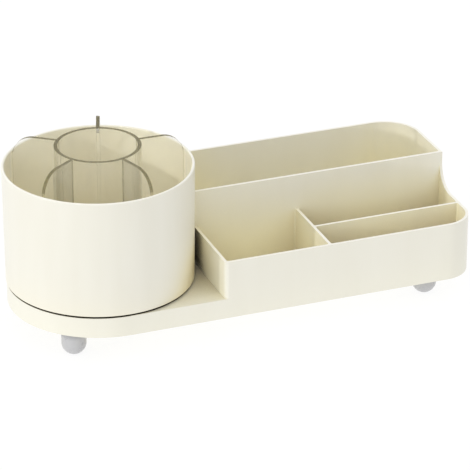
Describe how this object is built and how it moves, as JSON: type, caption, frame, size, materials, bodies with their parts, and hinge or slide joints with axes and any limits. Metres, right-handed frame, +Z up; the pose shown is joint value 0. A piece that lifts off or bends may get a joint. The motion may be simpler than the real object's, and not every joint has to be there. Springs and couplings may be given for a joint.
{
  "type": "rotating makeup brush holder",
  "caption": "Ivory brush cup that turns on the round end of a low compartment tray, with a clear lift-out divider and soft domed feet.",
  "frame": {"origin": "middle of the overall footprint, on the surface that the feet stand on", "axes": "+X along the tray from the cup to the compartments' end, +Y to the tall rear bin, +Z up"},
  "size_m": [0.3549, 0.145, 0.1444],
  "materials": {
    "ivory_plastic": "satin-gloss moulded ivory plastic",
    "clear_plastic": "clear polished plastic",
    "silicone": "translucent grey silicone",
    "steel": "bright plated steel",
    "track_plastic": "self-lubricating white plastic",
    "adhesive": "thin foam adhesive"
  },
  "bodies": {
    "tray": {"tray_body": "ivory_plastic", "lower_race": "track_plastic", "lower_race_screws": "steel", "pivot_screw": "steel", "pivot_washer": "steel", "foot_front_left": "silicone", "foot_front_right": "silicone", "foot_rear_left": "silicone", "foot_rear_right": "silicone", "foot_pad_front_left": "adhesive", "foot_pad_front_right": "adhesive", "foot_pad_rear_left": "adhesive", "foot_pad_rear_right": "adhesive"},
    "cup": {"rotating_cup": "ivory_plastic", "upper_race": "track_plastic", "pivot_bush": "track_plastic", "hub_cap": "ivory_plastic"},
    "cage": {"ball_cage": "track_plastic", "bearing_balls": "steel"},
    "divider": {"brush_divider": "clear_plastic"}
  },
  "joints": [
    {"name": "cup_spin", "type": "hinge", "parent": "tray", "child": "cup", "pos_m": [-0.10495, 0, 0.0331], "axis": [0, 0, 1], "continuous": true},
    {"name": "cage_spin", "type": "hinge", "parent": "tray", "child": "cage", "pos_m": [-0.10495, 0, 0.0331], "axis": [0, 0, 1], "continuous": true},
    {"name": "divider_lift", "type": "slide", "parent": "cup", "child": "divider", "axis": [0, 0, 1], "range_m": [0, 0.09]}
  ],
  "couplings": [
    {"joint": "cage_spin", "follows": "cup_spin", "ratio": 0.5}
  ]
}
